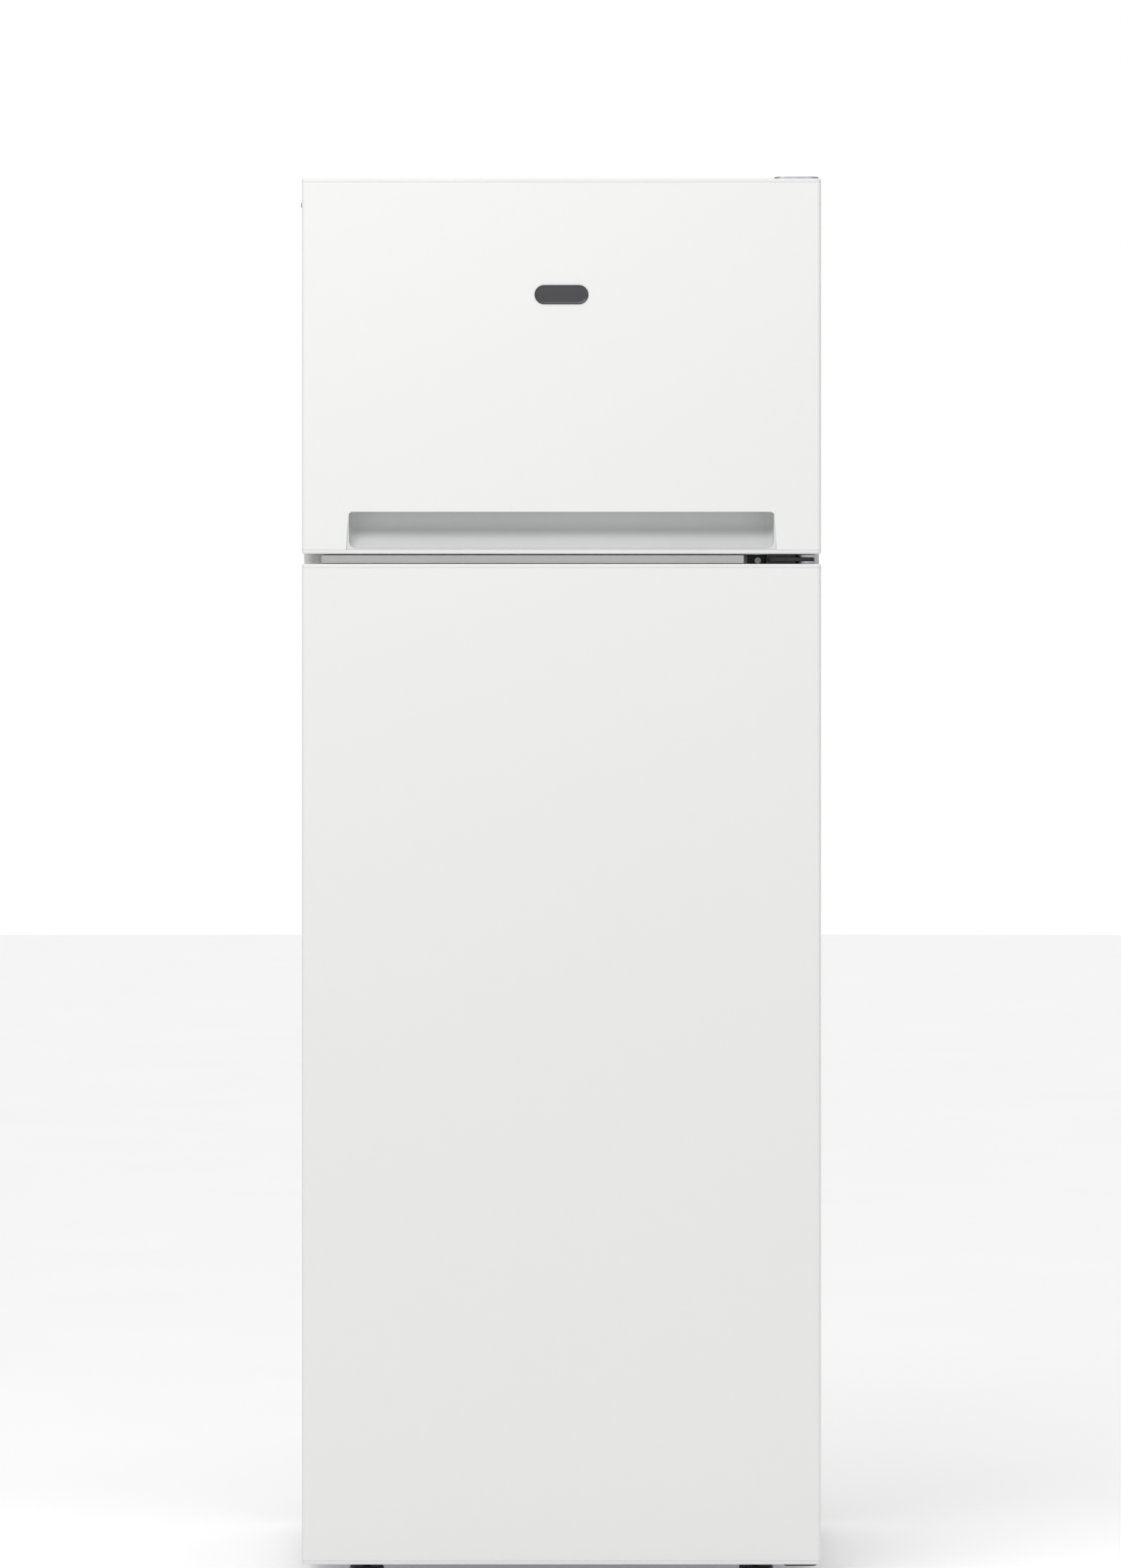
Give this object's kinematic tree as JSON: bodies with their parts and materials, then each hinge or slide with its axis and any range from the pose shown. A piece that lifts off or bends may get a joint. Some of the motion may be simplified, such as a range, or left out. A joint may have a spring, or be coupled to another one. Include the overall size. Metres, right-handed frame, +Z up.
{
  "type": "top freezer refrigerator",
  "caption": "Free-standing white refrigerator with the freezer on top: two right-hung doors, recessed grip, shelves, drawer, door racks and a rear condenser.",
  "frame": {"origin": "on the floor, under the middle of the footprint", "axes": "+X to the right seen from the front, +Y to the back, +Z up"},
  "size_m": [0.5415, 0.6012, 1.467],
  "materials": {
    "white_paint": "gloss",
    "white_plastic": "satin",
    "grip_plastic": "satin",
    "liner_white": "satin",
    "foam": "rough",
    "zinc_steel": "satin",
    "black_paint": "gloss",
    "black_plastic": "matte",
    "grey_plastic": "satin",
    "badge_grey": "satin",
    "seal_rubber": "matte",
    "dark_rubber": "matte",
    "shelf_glass": "gloss",
    "clear_plastic": "gloss",
    "opal_plastic": "satin",
    "bulb_glass": "gloss",
    "aluminium": "satin",
    "copper": "satin",
    "cast_motor": "rough",
    "coated_wire": "gloss"
  },
  "bodies": {
    "cabinet": {"cabinet_shell": "white_paint", "back_panel": "zinc_steel", "bottom_panel": "zinc_steel", "front_rails": "white_paint", "fridge_liner": "liner_white", "freezer_liner": "liner_white", "cabinet_foam": "foam", "evaporators": "aluminium", "top_cover": "white_plastic", "glass_shelves": "shelf_glass", "shelf_trims": "white_plastic", "control_box": "white_plastic", "lamp_cover": "opal_plastic", "lamp_bulb": "bulb_glass", "lamp_holder": "black_plastic", "thermostat": "zinc_steel", "freezer_wire_shelf": "coated_wire", "ice_tray": "white_plastic", "top_hinge": "zinc_steel", "middle_hinge": "black_paint", "bottom_hinge": "black_paint", "hinge_cover": "white_plastic", "hinge_screws": "zinc_steel", "foot_brackets": "zinc_steel", "machine_tray": "zinc_steel", "compressor_mounts": "dark_rubber", "compressor_case": "black_paint", "compressor_motor": "cast_motor", "electrical_covers": "black_plastic", "defrost_drain": "black_plastic", "condenser": "black_paint", "back_spacers": "black_plastic", "refrigerant_pipes": "copper"},
    "freezer_door": {"freezer_door_panel": "white_paint", "freezer_door_caps": "white_plastic", "freezer_door_foam": "foam", "freezer_door_liner": "liner_white", "freezer_door_gasket": "seal_rubber", "freezer_door_bushes": "grey_plastic", "freezer_door_grip": "grip_plastic", "freezer_door_racks": "clear_plastic", "badge": "badge_grey"},
    "fridge_door": {"fridge_door_panel": "white_paint", "fridge_door_caps": "white_plastic", "fridge_door_foam": "foam", "fridge_door_liner": "liner_white", "fridge_door_gasket": "seal_rubber", "fridge_door_bushes": "grey_plastic", "fridge_door_racks": "clear_plastic", "dairy_box": "white_plastic", "egg_tray": "white_plastic"},
    "dairy_lid": {"dairy_lid": "clear_plastic"},
    "bottle_retainer": {"bottle_retainer": "white_plastic"},
    "crisper": {"crisper_drawer": "clear_plastic"},
    "thermostat_knob": {"thermostat_knob": "grey_plastic"},
    "light_switch": {"light_switch": "white_plastic"},
    "front_foot_left": {"front_foot_left": "black_plastic"},
    "front_foot_right": {"front_foot_right": "black_plastic"},
    "rear_roller_left": {"rear_roller_left": "black_plastic"},
    "rear_roller_right": {"rear_roller_right": "black_plastic"}
  },
  "joints": [
    {"name": "freezer_door_hinge", "type": "hinge", "parent": "cabinet", "child": "freezer_door", "pos_m": [0.256, -0.276, 1.26], "axis": [0, 0, 1], "range_deg": [0, 125]},
    {"name": "fridge_door_hinge", "type": "hinge", "parent": "cabinet", "child": "fridge_door", "pos_m": [0.256, -0.276, 0.54], "axis": [0, 0, 1], "range_deg": [0, 125]},
    {"name": "dairy_lid_hinge", "type": "hinge", "parent": "fridge_door", "child": "dairy_lid", "pos_m": [0, -0.246, 0.904], "axis": [1, 0, 0], "range_deg": [0, 84]},
    {"name": "bottle_retainer_slide", "type": "slide", "parent": "fridge_door", "child": "bottle_retainer", "axis": [1, 0, 0], "range_m": [-0.165, 0.165]},
    {"name": "crisper_slide", "type": "slide", "parent": "cabinet", "child": "crisper", "axis": [0, -1, 0], "range_m": [0, 0.025]},
    {"name": "thermostat_turn", "type": "hinge", "parent": "cabinet", "child": "thermostat_knob", "pos_m": [-0.05, -0.18, 1.015], "axis": [0, -1, 0], "range_deg": [0, 270]},
    {"name": "light_switch_push", "type": "slide", "parent": "cabinet", "child": "light_switch", "axis": [0, -1, 0], "range_m": [0, 0.006]},
    {"name": "front_foot_left_turn", "type": "hinge", "parent": "cabinet", "child": "front_foot_left", "pos_m": [-0.205, -0.205, 0.012], "axis": [0, 0, 1], "continuous": true},
    {"name": "rear_roller_left_spin", "type": "hinge", "parent": "cabinet", "child": "rear_roller_left", "pos_m": [-0.225, 0.235, 0.013], "axis": [1, 0, 0], "continuous": true},
    {"name": "front_foot_right_turn", "type": "hinge", "parent": "cabinet", "child": "front_foot_right", "pos_m": [0.205, -0.205, 0.012], "axis": [0, 0, 1], "continuous": true},
    {"name": "rear_roller_right_spin", "type": "hinge", "parent": "cabinet", "child": "rear_roller_right", "pos_m": [0.225, 0.235, 0.013], "axis": [1, 0, 0], "continuous": true}
  ],
  "couplings": [
    {"joint": "light_switch_push", "follows": "fridge_door_hinge", "m_per_rad": 0.0027}
  ]
}
